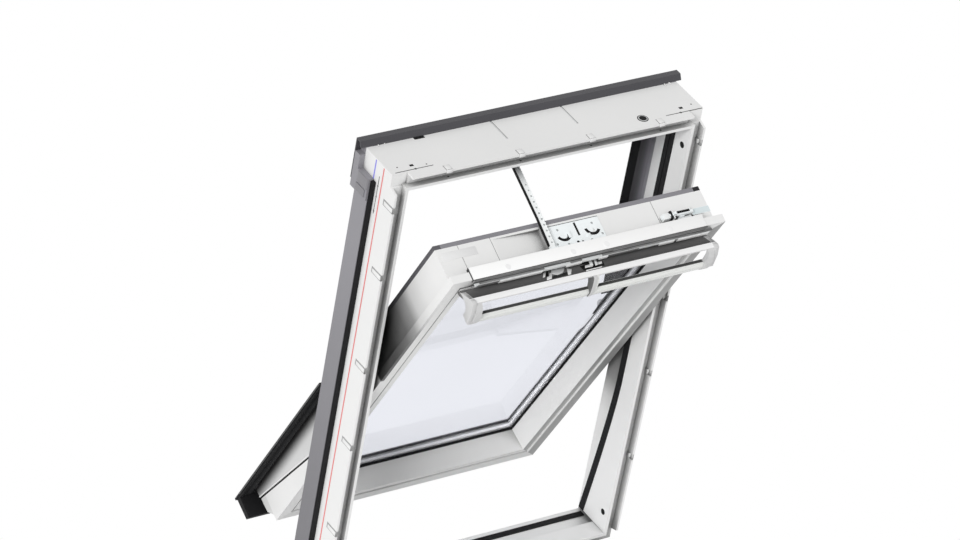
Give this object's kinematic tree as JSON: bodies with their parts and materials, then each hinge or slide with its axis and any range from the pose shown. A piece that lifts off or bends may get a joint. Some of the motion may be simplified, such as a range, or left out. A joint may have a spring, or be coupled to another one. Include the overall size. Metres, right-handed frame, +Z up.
{
  "type": "centre-pivot roof window",
  "caption": "Roof window with moulded white frame, sash swung open about its side pivots, double glazing, ventilation flap with handle bar and chain opener.",
  "frame": {"origin": "middle of the flat lower outer face of the frame, which stands on the roof's lower trimmer", "axes": "+X across the window to the right seen from the room, -Y towards the room, +Z up; the frame leans 73.5 degrees from level with its top towards the room"},
  "size_m": [0.806, 0.8757, 1.1855],
  "materials": {
    "black_rubber": "matt",
    "dark_flap": "matt dark grey",
    "glass": "clear double glazing",
    "grey_cladding": "matt dark grey",
    "handle_aluminium": "satin pale",
    "handle_plastic": "satin",
    "spacer": "satin",
    "white_moulding": "satin white moulded polyurethane",
    "zinc_steel": "zinc plated"
  },
  "bodies": {
    "root": {"barrel_bolt": "zinc_steel", "bolt_rail": "zinc_steel", "bottom_apron": "black_rubber", "chain": "zinc_steel", "chain_bracket": "zinc_steel", "cladding_bottom": "grey_cladding", "cladding_left": "grey_cladding", "cladding_right": "grey_cladding", "cladding_top": "grey_cladding", "corner_cover_left": "grey_cladding", "corner_cover_right": "grey_cladding", "cover_rubber_left": "black_rubber", "cover_rubber_right": "black_rubber", "cover_seal_left": "black_rubber", "cover_seal_right": "black_rubber", "edge_strip_left": "grey_cladding", "edge_strip_right": "grey_cladding", "frame_bottom": "white_moulding", "frame_left": "white_moulding", "frame_right": "white_moulding", "frame_seal_bottom": "black_rubber", "frame_seal_left": "black_rubber", "frame_seal_right": "black_rubber", "frame_seal_top": "black_rubber", "frame_top": "white_moulding", "front_strip": "white_moulding", "glass_inner": "glass", "glass_outer": "glass", "glass_spacer": "spacer", "glazing_gasket": "black_rubber", "handle_end_left": "handle_plastic", "handle_end_right": "handle_plastic", "handle_grip": "handle_aluminium", "hood": "grey_cladding", "lining_lip_top": "white_moulding", "lock_bar": "zinc_steel", "lock_case": "zinc_steel", "lock_plate": "zinc_steel", "pivot_left": "zinc_steel", "pivot_right": "zinc_steel", "sash_bottom": "white_moulding", "sash_left": "white_moulding", "sash_right": "white_moulding", "sash_top": "white_moulding", "side_cover_left": "grey_cladding", "side_cover_right": "grey_cladding", "side_strip_left": "black_rubber", "side_strip_right": "black_rubber", "vent_flap": "dark_flap"}
  },
  "joints": []
}
